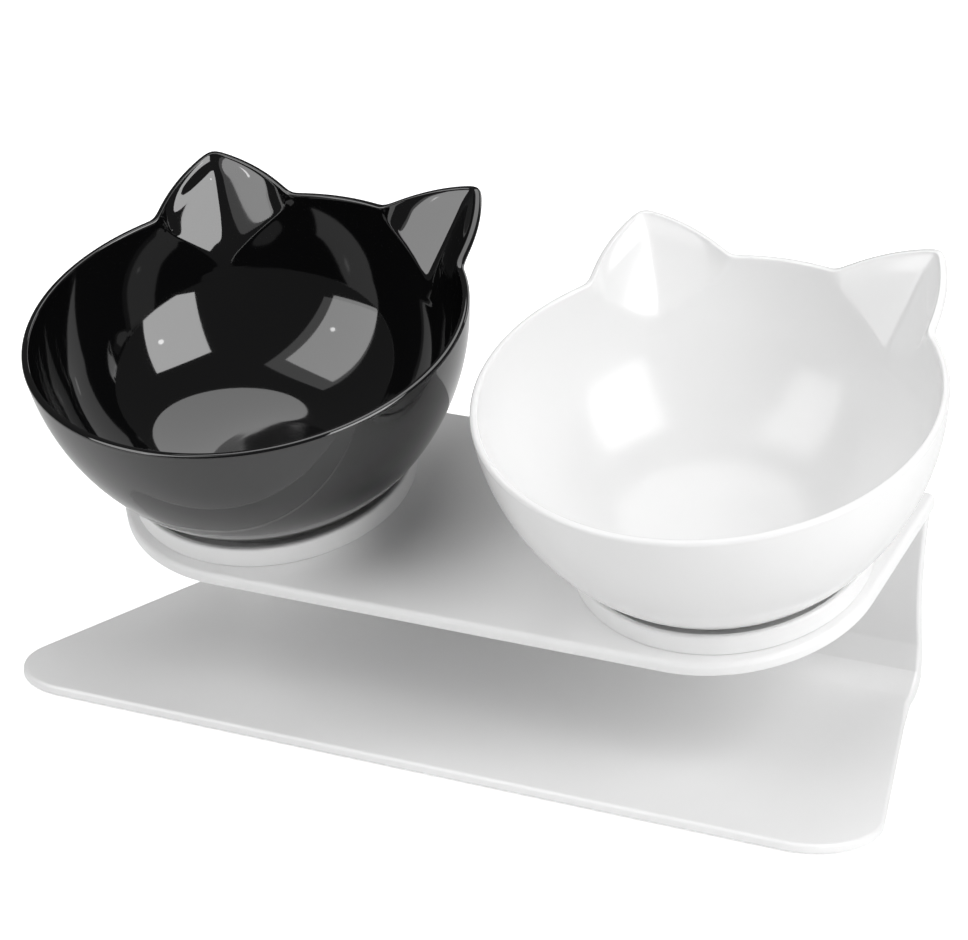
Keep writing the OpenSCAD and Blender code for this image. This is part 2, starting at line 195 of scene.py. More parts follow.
def plate(shell, right, profile, mapping, columns):
    """A plate with a rounded edge. right is the right half of its outline from front to
    back, each point (x, y, normal x, normal y); its ends are joined straight across.
    profile is (inset, share of the thickness, offset) from the upper face to the lower."""
    right = np.array(right)
    n = len(right)
    left = right * np.array([-1, 1, -1, 1])
    share = np.linspace(-1, 1, columns + 1)[1:-1]
    front = [(right[0, 0] * s, right[0, 1], 0.0, -1.0) for s in share]
    back = [(right[-1, 0] * s, right[-1, 1], 0.0, 1.0) for s in share[::-1]]
    loop = np.concatenate([left[::-1], np.array(front), right, np.array(back)])
    rings = np.empty((len(profile), len(loop), 3))
    for k, (inset, part, offset) in enumerate(profile):
        x = loop[:, 0] - loop[:, 2] * inset
        y = loop[:, 1] - loop[:, 3] * inset
        rings[k] = mapping(x, y, part, offset)
    shell.grid(rings, closed=True)
    for k, flip in ((0, False), (len(profile) - 1, True)):
        inset, part, offset = profile[k]
        x = right[:, 0] - right[:, 2] * inset
        y = right[:, 1] - right[:, 3] * inset
        s = np.linspace(-1, 1, columns + 1)
        gx = x[:, None] * s[None, :]
        gy = np.repeat(y[:, None], columns + 1, axis=1)
        pts = mapping(gx.ravel(), gy.ravel(), part, offset).reshape(n, columns + 1, 3)
        shell.grid(pts, flip=flip)


def upper_rounding(r, part, steps):
    """Profile of a plate's upper edge as (inset, share of the thickness, offset)."""
    turns = [math.pi / 2 * i / steps for i in range(steps + 1)]
    return [(r * (1 - math.sin(a)), part, -r * (1 - math.cos(a))) for a in turns]


def lower_rounding(r, low, steps):
    """Profile of a plate's lower edge, whose face is at the offset low."""
    turns = [math.pi / 2 * i / steps for i in range(steps + 1)]
    return [(r * (1 - math.cos(a)), 0.0, low + r * (1 - math.sin(a))) for a in turns]


def sharpen(obj, degrees):
    """Smooth shading that stops at sharp edges."""
    limit = math.radians(degrees)
    bm = bmesh.new()
    bm.from_mesh(obj.data)
    for e in bm.edges:
        e.smooth = not (len(e.link_faces) == 2 and e.calc_face_angle(0) > limit)
    bm.to_mesh(obj.data)
    bm.free()


def weigh_normals(obj):
    """Large faces keep their flat shading beside small roundings."""
    mod = obj.modifiers.new("weighted", "WEIGHTED_NORMAL")
    mod.keep_sharp = True
    mod.weight = 60


# Node materials
def empty_tree(owner):
    """The cleared node tree of a material or a world."""
    owner.use_nodes = True
    owner.node_tree.nodes.clear()
    return owner.node_tree


def new_material(name):
    """A material with its tree, its shader and the coordinates that ride with the piece."""
    m = bpy.data.materials.new(name)
    nt = empty_tree(m)
    out = nt.nodes.new("ShaderNodeOutputMaterial")
    bsdf = nt.nodes.new("ShaderNodeBsdfPrincipled")
    nt.links.new(bsdf.outputs[0], out.inputs["Surface"])
    coord = nt.nodes.new("ShaderNodeTexCoord").outputs["Object"]
    return m, nt, bsdf, coord


def noise(nt, coord, scale, detail=2.0, rough=0.5):
    """Noise of about 0.3 to 0.7."""
    n = nt.nodes.new("ShaderNodeTexNoise")
    n.inputs["Scale"].default_value = scale
    n.inputs["Detail"].default_value = detail
    n.inputs["Roughness"].default_value = rough
    nt.links.new(coord, n.inputs["Vector"])
    return n.outputs["Fac"]


def span(nt, fac, low, high):
    """Spreads a noise over the values from low to high."""
    r = nt.nodes.new("ShaderNodeMapRange")
    r.inputs["From Min"].default_value = 0.3
    r.inputs["From Max"].default_value = 0.7
    r.inputs["To Min"].default_value = low
    r.inputs["To Max"].default_value = high
    nt.links.new(fac, r.inputs["Value"])
    return r.outputs["Result"]


def tint(nt, fac, low, high):
    """Mixes two colours by a noise."""
    r = nt.nodes.new("ShaderNodeMix")
    r.data_type = "RGBA"
    r.inputs["A"].default_value = (*low, 1)
    r.inputs["B"].default_value = (*high, 1)
    nt.links.new(fac, r.inputs["Factor"])
    return r.outputs["Result"]


def bump(nt, bsdf, height, distance):
    """A fine relief, its distance in metres."""
    b = nt.nodes.new("ShaderNodeBump")
    b.inputs["Distance"].default_value = distance
    b.inputs["Strength"].default_value = 1.0
    nt.links.new(height, b.inputs["Height"])
    nt.links.new(b.outputs["Normal"], bsdf.inputs["Normal"])


def surface(name, low, high, rough, drift, polish, skin, depth, ior=None, metallic=0.0):
    """A surface between two colours and two roughnesses, with a fine skin. drift, polish
    and skin are the noises of colour, roughness and height as (scale, detail, roughness);
    depth is the skin's in metres."""
    m, nt, bsdf, coord = new_material(name)
    nt.links.new(tint(nt, noise(nt, coord, *drift), low, high), bsdf.inputs["Base Color"])
    nt.links.new(span(nt, noise(nt, coord, *polish), *rough), bsdf.inputs["Roughness"])
    if ior is not None:
        bsdf.inputs["IOR"].default_value = ior
    bsdf.inputs["Metallic"].default_value = metallic
    bump(nt, bsdf, noise(nt, coord, *skin), depth)
    return m


def plastic(name, low, high, rough, rough_span, grain, depth, ior=1.5):
    """A moulded plastic: faint colour drift, uneven polish and a fine skin."""
    return surface(name, low, high, (rough - rough_span, rough + rough_span),
                   drift=(18.0, 3.0), polish=(60.0, 4.0, 0.6), skin=(grain, 2.0, 0.5),
                   depth=depth, ior=ior)


stand_white = plastic("stand_satin_white", low=(0.84, 0.84, 0.84), high=(0.87, 0.87, 0.87),
                      rough=0.36, rough_span=0.04, grain=1400.0, depth=0.00002)
seat_white = plastic("seat_white", low=(0.82, 0.82, 0.82), high=(0.86, 0.86, 0.86),
                     rough=0.30, rough_span=0.008, grain=900.0, depth=0.000002)
bowl_black = plastic("bowl_gloss_black", low=(0.0025, 0.0025, 0.0027),
                     high=(0.0035, 0.0035, 0.0038), rough=0.045, rough_span=0.012,
                     grain=120.0, depth=0.000004, ior=1.72)
bowl_white = plastic("bowl_gloss_white", low=(0.80, 0.80, 0.80), high=(0.83, 0.83, 0.83),
                     rough=0.20, rough_span=0.02, grain=120.0, depth=0.000004)
pad_grey = surface("pad_rubber", low=(0.10, 0.10, 0.10), high=(0.17, 0.17, 0.17),
                   rough=(0.72, 0.9), drift=(700.0, 3.0), polish=(300.0,),
                   skin=(1600.0, 2.0), depth=0.00004)
screw_zinc = surface("screw_steel", low=(0.52, 0.53, 0.55), high=(0.64, 0.65, 0.66),
                     rough=(0.22, 0.36), drift=(500.0, 3.0), polish=(1200.0,),
                     skin=(2400.0, 1.0), depth=0.00001, metallic=1.0)

# The stand
# Roundings of the floor plate's upper and lower edge, of the deck's upper edge, of its
# skirt's lower edge and of its rear corners
BASE_TOP_R, BASE_LOW_R, DECK_EDGE_R, SKIRT_LOW_R, REAR_R = 1.0, 0.7, 1.6, 0.5, 2.4
# How far the wall reaches into the deck, and where the floor plate's two faces part company
WALL_IN_DECK, BASE_SPLIT = 0.6, 96.0
COLUMNS = 24

# The bend in side view: outer and inner points along one run
in_centre = np.array([foot_line, BASE_T + FOOT_IN_R])
out_centre = np.array([foot_start_y, FOOT_OUT_R])
wall_end_up = WALL_LEN - DECK_H + WALL_IN_DECK
outer, inner = [], []
for y in np.linspace(0, BASE_SPLIT, 25):
    outer.append((y, 0.0))
    inner.append((y, BASE_T))
for t in np.linspace(0, 1, 5)[1:]:
    outer.append((BASE_SPLIT + t * (foot_start_y - BASE_SPLIT), 0.0))
    inner.append((BASE_SPLIT + t * (foot_line - BASE_SPLIT), BASE_T))
turn_steps = 12 * FINE
for i in range(1, turn_steps + 1):
    a = FOOT_TURN * i / turn_steps
    d = np.array([math.sin(a), -math.cos(a)])
    outer.append(tuple(out_centre + FOOT_OUT_R * d))
    inner.append(tuple(in_centre + FOOT_IN_R * d))
bend_end = len(outer) - 1
wall_steps = 20 * FINE
for t in np.linspace(0, 1, wall_steps + 1)[1:]:
    outer.append(tuple(on_wall(foot_out_run + t * (wall_end_up - foot_out_run), 0)))
    inner.append(tuple(on_wall(foot_top_up + t * (wall_end_up - foot_top_up), WALL_T)))
outer, inner = np.array(outer), np.array(inner)
middle = (outer + inner) / 2
run = np.concatenate([[0], np.cumsum(np.linalg.norm(np.diff(middle, axis=0), axis=1))])


def bend_map(x, s, part, offset):
    """From the unrolled bend to the base's own place."""
    oy, oz = np.interp(s, run, outer[:, 0]), np.interp(s, run, outer[:, 1])
    iy, iz = np.interp(s, run, inner[:, 0]), np.interp(s, run, inner[:, 1])
    dy, dz = iy - oy, iz - oz
    t = np.hypot(dy, dz)
    h = (part * t + offset) / t
    return np.stack([x, oy + dy * h, oz + dz * h], axis=1)


def outline_normals(points):
    """The outline's points with the normals that look out of it."""
    p = np.array(points)
    d = np.gradient(p, axis=0)
    d /= np.linalg.norm(d, axis=1)[:, None]
    return np.column_stack([p, d[:, 1], -d[:, 0]])


def bend_outline():
    """Right half of the unrolled floor plate, bend and back wall."""
    pts = arc(base_corner_x, BASE_CORNER_R, BASE_CORNER_R, -90, math.degrees(taper),
              16 * FINE)
    touch_y = pts[-1][1]
    for y in np.linspace(touch_y, side_end_y, 20)[1:]:
        pts.append((BASE_FOOT_W / 2 + (side_end_y - y) * math.tan(taper), y))
    s0 = np.interp(side_end_y, inner[:, 0][:bend_end], run[:bend_end])
    s1 = run[bend_end]
    for s in np.linspace(s0, s1, 16 * FINE)[1:]:
        pts.append((BASE_FOOT_W / 2, s))
    for k in range(bend_end + 1, len(run)):
        up = foot_top_up + (wall_end_up - foot_top_up) * (k - bend_end) / wall_steps
        h = up - foot_top_up
        pts.append((BASE_FOOT_W / 2 + flare_r - math.sqrt(flare_r ** 2 - h * h), run[k]))
    out = outline_normals(pts)
    out[0, 2:] = (0.0, -1.0)
    out[-1, 2:] = out[-2, 2:]
    return out


stand = Shell()
sheet = Shell()
edge_steps = 2 * FINE + 1
plate(sheet, bend_outline(), upper_rounding(BASE_TOP_R, 1.0, edge_steps)
      + lower_rounding(BASE_LOW_R, 0.0, edge_steps), bend_map, COLUMNS)
stand.add(place(np.concatenate(sheet.v)), sheet.f)

# The deck: plate, skirt and underside
deck_end_x = DECK_W / 2 - DECK_END_R
side_dx, side_dy = DECK_BACK_W / 2 - deck_end_x, DECK_DEPTH - DECK_END_R
side_turn = math.atan2(side_dy, side_dx) - math.acos(DECK_END_R / math.hypot(side_dx, side_dy))


def deck_outline():
    """Right half of the deck from above."""
    pts = arc(deck_end_x, DECK_END_R, DECK_END_R, -90, math.degrees(side_turn), 40 * FINE)
    nx, ny = math.cos(side_turn), math.sin(side_turn)
    start = np.array(pts[-1])
    # The rear corner, rounded where the side meets the straight back
    turn = math.pi / 2 - side_turn
    run_back = REAR_R * math.tan(turn / 2)
    end = np.array([DECK_BACK_W / 2, DECK_DEPTH])
    stop = end - run_back * np.array([-ny, nx])
    for t in np.linspace(0, 1, 12)[1:]:
        pts.append(tuple(start + (stop - start) * t))
    centre = stop - REAR_R * np.array([nx, ny])
    for a in np.linspace(side_turn, math.pi / 2, 6)[1:]:
        pts.append((centre[0] + REAR_R * math.cos(a), centre[1] + REAR_R * math.sin(a)))
    out = outline_normals(pts)
    out[0, 2:] = (0.0, -1.0)
    out[-1, 2:] = (0.0, 1.0)
    return out


def deck_map(x, y, part, offset):
    """From the deck's outline to its own place; all offsets are from the upper face."""
    return np.stack([x, y, np.full_like(x, offset)], axis=1)


deck_profile = upper_rounding(DECK_EDGE_R, 0, 3 * FINE)
deck_profile += lower_rounding(SKIRT_LOW_R, -DECK_H, 3)
# The skirt's inner face, eased at its lower edge and at its root
deck_profile += [(SKIRT_T - 0.4, 0, -DECK_H), (SKIRT_T - 0.1, 0, -DECK_H + 0.12),
                 (SKIRT_T, 0, -DECK_H + 0.4), (SKIRT_T + 0.1, 0, -DECK_PLATE_T - 0.4),
                 (SKIRT_T + 0.5, 0, -DECK_PLATE_T)]
deck = Shell()
plate(deck, deck_outline(), deck_profile, deck_map, COLUMNS)
stand.add(on_deck(np.concatenate(deck.v)), deck.f)


def rounded_box(shell, low, high, r):
    """A box with rounded upright edges and eased ends."""
    low, high = np.array(low, float), np.array(high, float)
    cx, cy = (low[:2] + high[:2]) / 2
    hx, hy = (high[:2] - low[:2]) / 2
    ring = []
    for qx, qy, a0 in ((1, 1, 0), (-1, 1, 90), (-1, -1, 180), (1, -1, 270)):
        for turn in (0, 45, 90):
            a = math.radians(a0 + turn)
            ring.append((cx + qx * (hx - r) + r * math.cos(a),
                         cy + qy * (hy - r) + r * math.sin(a),
                         math.cos(a), math.sin(a)))
    ring = np.array(ring)
    levels = [(r, low[2]), (0.3 * r, low[2] + 0.3 * r), (0, low[2] + r),
              (0, high[2] - r), (0.3 * r, high[2] - 0.3 * r), (r, high[2])]
    pts = np.empty((len(levels), len(ring), 3))
    for i, (inset, z) in enumerate(levels):
        pts[i, :, 0] = ring[:, 0] - ring[:, 2] * inset
        pts[i, :, 1] = ring[:, 1] - ring[:, 3] * inset
        pts[i, :, 2] = z
    shell.tube(pts)


# How far the forms below the deck reach into its plate, its skirt, the strip along the wall
# and the wall, and the ribs' easing and distance from the skirt's lower edge
IN_PLATE, IN_SKIRT, IN_STRIP, IN_WALL, RIB_EASE, RIB_UP = 0.8, 0.6, 2.0, 1.2, 0.35, 0.1
# The gap round a screw's head in its boss
HEAD_GAP = 0.2

under = Shell()
root_y = DECK_DEPTH - WALL_T - DECK_ROOT_R
for x in (-SEAT_X, 0, SEAT_X):
    rounded_box(under, (x - RIB_T / 2, SKIRT_T - IN_SKIRT, -DECK_H + RIB_UP),
                (x + RIB_T / 2, root_y + IN_STRIP, -DECK_PLATE_T + IN_PLATE), RIB_EASE)

# The solid strip along the back wall and its rounding
half = BASE_FOOT_W / 2 + flare_x / 2
corner_y = DECK_DEPTH - WALL_T
strip = [(root_y, -DECK_PLATE_T + IN_PLATE), (root_y, -DECK_H + 0.4),
         (root_y + 0.1, -DECK_H + 0.1)]
strip += arc(corner_y - DECK_ROOT_R, -DECK_H - DECK_ROOT_R, DECK_ROOT_R + 0.02, 90, 0,
             8 * FINE)
strip += [(corner_y + IN_WALL, -DECK_H - DECK_ROOT_R),
          (corner_y + IN_WALL, -DECK_PLATE_T + IN_PLATE)]
under.tube(np.stack([np.column_stack([np.full(len(strip), x), strip])
                     for x in np.linspace(-half, half, 3)]))

# The bosses round the screws' heads
r_in, r_out = SCREW_HEAD_D / 2 + HEAD_GAP, SCREW_HEAD_D / 2 + SKIRT_T
head_boss = [(r_in, -DECK_PLATE_T + 0.6), (r_in, -DECK_H + 0.3), (r_in + 0.25, -DECK_H),
             (r_out - 0.35, -DECK_H), (r_out, -DECK_H + 0.35),
             (r_out, -DECK_PLATE_T - 0.3), (r_out + 0.3, -DECK_PLATE_T + 0.05),
             (r_out, -DECK_PLATE_T + 0.6), (r_in, -DECK_PLATE_T + 0.6)]
for side in (-1, 1):
    for x, y in SCREW_SPOTS:
        lathe(under, head_boss, 40, (side * SEAT_X + x, SEAT_Y + y, 0))
stand.add(on_deck(np.concatenate(under.v)), under.f)

stand_obj = stand.make("stand_moulding", lambda v: v, "stand_body", "stand",
                       stand_white)
sharpen(stand_obj, 38)
weigh_normals(stand_obj)

# Seats
# Roundings of the centring step's edge, of the corner between step and wall, and of the
# wall's lip inside and outside
STEP_R, CORNER_R, LIP_IN_R, LIP_OUT_R = 0.3, 0.8, 0.5, 0.7
step_r = FOOT_R + FOOT_GAP
step_top = SEAT_FLOOR_T + SEAT_STEP_H
in_r = SEAT_R - SEAT_WALL_T
collar = [(0, SEAT_FLOOR_T), (step_r - 0.15, SEAT_FLOOR_T), (step_r, SEAT_FLOOR_T + 0.15)]
collar += arc(step_r + STEP_R, step_top - STEP_R, STEP_R, 180, 90, 4)
collar += arc(in_r - CORNER_R, step_top + CORNER_R, CORNER_R, -90, 0, 5)
collar += arc(in_r + LIP_IN_R, SEAT_H - LIP_IN_R, LIP_IN_R, 180, 90, 6)
collar += arc(SEAT_R - LIP_OUT_R, SEAT_H - LIP_OUT_R, LIP_OUT_R, 90, 0, 8)
# The eased edge on the deck
collar += [(SEAT_R, 0.45), (SEAT_R - 0.12, 0.2), (SEAT_R - 0.35, 0.05), (SEAT_R - 0.6, 0.0),
           (0, 0.0)]
# A boss over a screw's end, on the seat's floor
boss_r = SCREW_D / 2 + SEAT_WALL_T
end_boss = [(r, SEAT_FLOOR_T + up) for r, up in (
    (0, 1.5), (boss_r - 0.4, 1.5), (boss_r - 0.1, 1.4), (boss_r, 1.1), (boss_r, 0.3))]
end_boss += [(boss_r + 0.3, SEAT_FLOOR_T - 0.05), (0, SEAT_FLOOR_T - 0.3)]

# Screws
# Half the width and half the length of the cross recess's arms, with the run of their
# slopes, and its depth
ARM_W, ARM_W_RUN, ARM_L, ARM_L_RUN, CROSS_DEEP = 0.42, 0.16, 1.7, 0.3, 1.0
HEAD_ROWS, SCREW_COLUMNS = 18, 96


def cross_recess(px, py):
    """Depth of a screw's cross recess."""
    def arm(across, along):
        return (np.clip((ARM_W - np.abs(across)) / ARM_W_RUN, 0, 1)
                * np.clip((ARM_L - np.abs(along)) / ARM_L_RUN, 0, 1))
    return CROSS_DEEP * np.maximum(arm(px, py), arm(py, px))


def screw(shell, x, y):
    """A pan-head screw, its domed head below the deck's plate."""
    r, z0 = SCREW_HEAD_D / 2, -DECK_PLATE_T
    around = np.linspace(0, 2 * math.pi, SCREW_COLUMNS, endpoint=False)
    pts = np.empty((HEAD_ROWS + 1, SCREW_COLUMNS, 3))
    for k in range(HEAD_ROWS + 1):
        a = math.pi / 2 * k / HEAD_ROWS
        rr = r * math.sin(a)
        dome = SCREW_HEAD_H * math.cos(a) ** 0.7
        px, py = rr * np.cos(around), rr * np.sin(around)
        pts[k, :, 0] = px + x
        pts[k, :, 1] = py + y
        pts[k, :, 2] = z0 - dome + cross_recess(px, py) * np.clip(1.2 - rr / 2.2, 0, 1)
    shell.grid(pts, closed=True)
    shank_r, end = SCREW_D / 2, z0 + SCREW_LEN
    shank = [(r, z0), (shank_r + 0.15, z0), (shank_r, z0 + 0.2), (shank_r, end - 0.5),
             (shank_r - 0.45, end), (0, end)]
    lathe(shell, shank, SCREW_COLUMNS, (x, y, 0))


for side, word in ((-1, "left"), (1, "right")):
    seat = Shell()
    lathe(seat, collar, 128 * FINE)
    for x, y in SCREW_SPOTS:
        lathe(seat, end_boss, 40, (x, y, 0))
    obj = seat.make(f"seat_collar_{word}", at_seat(side), "stand_body", f"seat_{word}",
                    seat_white)
    sharpen(obj, 40)
    weigh_normals(obj)
    screws = Shell()
    for x, y in SCREW_SPOTS:
        screw(screws, x, y)
    obj = screws.make(f"screws_{word}", at_seat(side), "stand_body",
                      f"seat_screws_{word}", screw_zinc)
    sharpen(obj, 35)

# Pads, with a rounded edge and a groove round their lower face
PAD_EDGE_R, GROOVE_DEEP = 0.35, 0.2
pad_r = PAD_D / 2
pad_profile = [(0, PAD_RECESS), (pad_r, PAD_RECESS), (pad_r, -PAD_PROUD + PAD_EDGE_R)]
pad_profile += arc(pad_r - PAD_EDGE_R, -PAD_PROUD + PAD_EDGE_R, PAD_EDGE_R, 0, -90, 4)[1:]
pad_profile += [(pad_r - 1.2, -PAD_PROUD), (pad_r - 1.5, -PAD_PROUD + GROOVE_DEEP),
                (pad_r - 2.0, -PAD_PROUD + GROOVE_DEEP), (pad_r - 2.3, -PAD_PROUD),
                (0, -PAD_PROUD)]
pad_rear_x = BASE_FOOT_W / 2 - PAD_INSET
pad_rear_y = foot_start_y - PAD_INSET
for word, x, y in (("front", base_corner_x, PAD_INSET), ("rear", pad_rear_x, pad_rear_y)):
    for side, hand in ((-1, "left"), (1, "right")):
        pad = Shell()
        lathe(pad, pad_profile, 64, (side * x, y, 0))
        obj = pad.make(f"rubber_pad_{word}_{hand}", place, "stand_body", f"pad_{word}_{hand}",
                       pad_grey)
        sharpen(obj, 40)

# The bowls
# The ears' middles in degrees, and whether the ear is the mirrored one
EAR_MID = 90 + EAR_TURN
EARS = ((EAR_MID, False), (180 - EAR_MID, True))
# How far from its middle an ear shapes the plan, and how far its rise and pocket can reach
EAR_REACH, EAR_FADE = 24, 30
# Where the rise towards an ear's tip is full, and how far past the full height it may go
FULL_X, RISE_MAX = 85.2, 1.05
# How deep an ear's pocket reaches down the bowl's inside, by the angle from its middle,
# towards the bowl's side, and how deep the line between the ears lies
POCKET = np.array([(-18.85, 0), (-17.35, 4.2), (-9.75, 9.8), (-3.05, 14.6), (0.8, 16.8),
                   (5.85, 14.4), (9.05, 12.1), (12.25, 9.3), (15.15, 6.2), (18.85, 0)])
POCKET_MIN = 4.0
# The pocket's two faces are flatter than the lip round them: its own tip, how far its faces
# bow out, next to the other ear and on the bowl's side, and how far they are drawn in
POCKET_TIP_R, POCKET_BOW, POCKET_IN = 83.3, (1.1, 0.2), 0.6
LIP_DEEP = 3.2
# How deep below the rim the rows follow the ears, and how much farther the outside does
EAR_ROWS_DEEP, OUTSIDE_MORE = 22.0, 3.0
# How much farther down than its pocket an ear's outer face starts
FACE_MORE = 1.2
# Softness of the folds below the ears, and what is added on the bowl's side of a pocket,
# from and over how many degrees
FOLD_SHARP, FOLD_SOFTER, SOFTER_FROM, SOFTER_RUN = 0.05, 0.13, -1, 6
# Where an ear has gone inside and outside, as shares of its depth there
POCKET_GONE, FACE_GONE = 2.4, 1.6
# Smoothing in degrees: the rim's outside and rise, its inside, the pockets' plan, the corner
# where that meets the rim's, the pockets' depth, and the folds
SMOOTH_OUT, SMOOTH_IN, SMOOTH_POCKET, SMOOTH_MEET = 1.25, 1.1, 0.8, 0.4
SMOOTH_DEPTH, SMOOTH_FOLD = 1.0, 1.5
# Roundings of the rim inside and outside, and the height of the outside's lower corner
RIM_IN_R, RIM_OUT_R, LOW_CORNER_H = 0.55, 1.0, 1.2
DISH_DEG = 4.0
AROUND = 360 * FINE
theta = np.arange(AROUND) * 360.0 / AROUND


def smooth_round(values, sigma):
    """Gaussian smoothing round the full turn, sigma in degrees."""
    k = np.arange(-int(4 * sigma * AROUND / 360) - 1, int(4 * sigma * AROUND / 360) + 2)
    w = np.exp(-0.5 * (k * 360.0 / AROUND / sigma) ** 2)
    w /= w.sum()
    out = np.zeros_like(values)
    for kk, ww in zip(k, w):
        out += ww * np.roll(values, kk)
    return out


def signed_from(mid, mirrored):
    """Angle from an ear's middle, towards the bowl's side."""
    delta = (theta - mid + 180) % 360 - 180
    return -delta if mirrored else delta


def ear_side(tip_r, draw_in, bow):
    """Plan radius of an ear's side, by the angle from the ear's middle."""
    a = math.radians(EAR_HALF)
    base = np.array([BOWL_R * math.cos(a), BOWL_R * math.sin(a)])
    d = np.array([tip_r, 0.0]) - base
    n = np.array([-d[1], d[0]]) / np.linalg.norm(d)
    if n[0] < 0:
        n = -n
    t = np.linspace(-0.15, 1.25, 241)[:, None]
    side = base + d * t + n * (4 * bow * t * (1 - t) - draw_in)
    angle = np.degrees(np.arctan2(side[:, 1], side[:, 0]))
    reach = np.hypot(side[:, 0], side[:, 1])
    order = np.argsort(angle)
    return angle[order], reach[order]


def ear_outline(radius, draw_in, tip_r=EAR_TIP_R, bows=(EAR_BOW, EAR_BOW)):
    """Plan radius round the bowl with both ears, whose sides bow out as arcs would."""
    out = np.full(AROUND, radius)
    for mid, mirrored in EARS:
        s = signed_from(mid, mirrored)
        for hand, bow in zip((-1, 1), bows):
            line = np.interp(np.abs(s), *ear_side(tip_r, draw_in, bow))
            on_side = (np.abs(s) < EAR_REACH) & (s * hand >= 0)
            out = np.maximum(out, np.where(on_side, line, 0))
    return out


# The rim's plan outside and inside, and the pockets' below the lip
rim_in = math.sqrt((BOWL_ARC_R - BOWL_T) ** 2 - BOWL_ARC_UP ** 2) - bowl_arc_x
sharp_edge = ear_outline(BOWL_R, 0)
outer_edge = smooth_round(sharp_edge, SMOOTH_OUT)
inner_edge = smooth_round(ear_outline(rim_in, BOWL_R - rim_in), SMOOTH_IN)
pocket_edge = smooth_round(ear_outline(rim_in, POCKET_IN, POCKET_TIP_R, POCKET_BOW),
                           SMOOTH_POCKET)
pocket_edge = smooth_round(np.minimum(pocket_edge, inner_edge), SMOOTH_MEET)

# The rim's rise and the pockets' depth round the bowl
chord = BOWL_R * math.cos(math.radians(EAR_HALF))
rise, pocket = np.zeros(AROUND), np.zeros(AROUND)
for mid, mirrored in EARS:
    s = signed_from(mid, mirrored)
    x = sharp_edge * np.cos(np.radians(np.abs(s)))
    here = EAR_TIP_H * np.clip((x - chord) / (FULL_X - chord), 0, RISE_MAX)
    rise = np.maximum(rise, np.where(np.abs(s) < EAR_FADE, here, 0))
    here = np.interp(s, POCKET[:, 0], POCKET[:, 1])
    pocket = np.maximum(pocket, np.where(np.abs(s) < EAR_FADE, here, 0))
rise = smooth_round(rise, SMOOTH_OUT)
pocket = np.maximum(smooth_round(pocket, SMOOTH_DEPTH), POCKET_MIN)

# The inside in side view: the wall's arc, which meets the bottom's bend at touch_z
wall_in_r = BOWL_ARC_R - BOWL_T
bend_x = math.sqrt((wall_in_r - BOWL_BOTTOM_R) ** 2
                   - (BOWL_ARC_UP + BOWL_DEPTH - BOWL_BOTTOM_R) ** 2) - bowl_arc_x
bend_z = BOWL_BOTTOM_R - BOWL_DEPTH
touch = math.asin((BOWL_ARC_UP - bend_z) / (wall_in_r - BOWL_BOTTOM_R))
touch_z = BOWL_ARC_UP - wall_in_r * math.sin(touch)
# A very flat dish takes the place of the flat bottom, up to where the bend's slope meets it
dish_turn = math.radians(DISH_DEG)
dish_edge = bend_x + BOWL_BOTTOM_R * math.sin(dish_turn)
dish_r = dish_edge / math.sin(dish_turn)
dish_z = -BOWL_DEPTH + (BOWL_BOTTOM_R - dish_r) * (1 - math.cos(dish_turn))


def arc_radius(radius, z):
    """Radius of a wall's face at a height."""
    return float(-bowl_arc_x + np.sqrt(radius ** 2 - (z - BOWL_ARC_UP) ** 2))


def inside(z):
    """Radius of the bowl's inside at a height."""
    if z > touch_z:
        return arc_radius(wall_in_r, z)
    return bend_x + math.sqrt(max(BOWL_BOTTOM_R ** 2 - (z - bend_z) ** 2, 0))


def under_z(r):
    """Height of the bottom's lower face, which follows the bend inside."""
    return bend_z - math.sqrt((BOWL_BOTTOM_R + BOWL_T) ** 2 - max(r - bend_x, 0) ** 2)


def fold(f, soft):
    """Zero below the fold, rising in a line above it, with a soft corner."""
    return 0.5 * (f + np.sqrt(f * f + soft * soft))


def ring(r, z):
    """A row that is round and level."""
    return np.full(AROUND, r), np.full(AROUND, z)


def bottom_rows():
    """The dish and the bend inside, up to where the rows follow the ears."""
    rows = [ring(dish_r * math.sin(a), dish_z + dish_r * (1 - math.cos(a)))
            for a in np.linspace(0, dish_turn, 13)[:-1]]
    low_turn = math.degrees(math.asin((bend_z + EAR_ROWS_DEEP) / BOWL_BOTTOM_R))
    bend = arc(bend_x, bend_z, BOWL_BOTTOM_R, DISH_DEG - 90, -low_turn, 30 * FINE)[:-1]
    return rows + [ring(max(r, inside(z)), z) for r, z in bend]


def pocket_rows():
    """The inside's wall with the ears' pockets."""
    # The fold below a pocket is sharp next to the other ear and rounded on the bowl's side
    soft = np.full(AROUND, FOLD_SHARP)
    for mid, mirrored in EARS:
        s = signed_from(mid, mirrored)
        soft += FOLD_SOFTER * np.clip((s - SOFTER_FROM) / SOFTER_RUN, 0, 1) * (s < EAR_REACH)
    soft = smooth_round(soft, SMOOTH_FOLD)
    top = fold(np.ones(AROUND), soft)
    rows = []
    for d in np.linspace(EAR_ROWS_DEEP, RIM_IN_R, 24 * FINE + 1):
        below = d - RIM_IN_R
        f = fold((pocket - below) / pocket, soft) / top
        f = f * np.clip(POCKET_GONE - below / pocket, 0, 1)
        near = np.clip(1 - below / LIP_DEEP, 0, 1)
        near = near * near * (3 - 2 * near)
        grow_in = pocket_edge + (inner_edge - pocket_edge) * near - rim_in
        rows.append((inside(-d) + grow_in * f, -d + rise * f))
    return rows


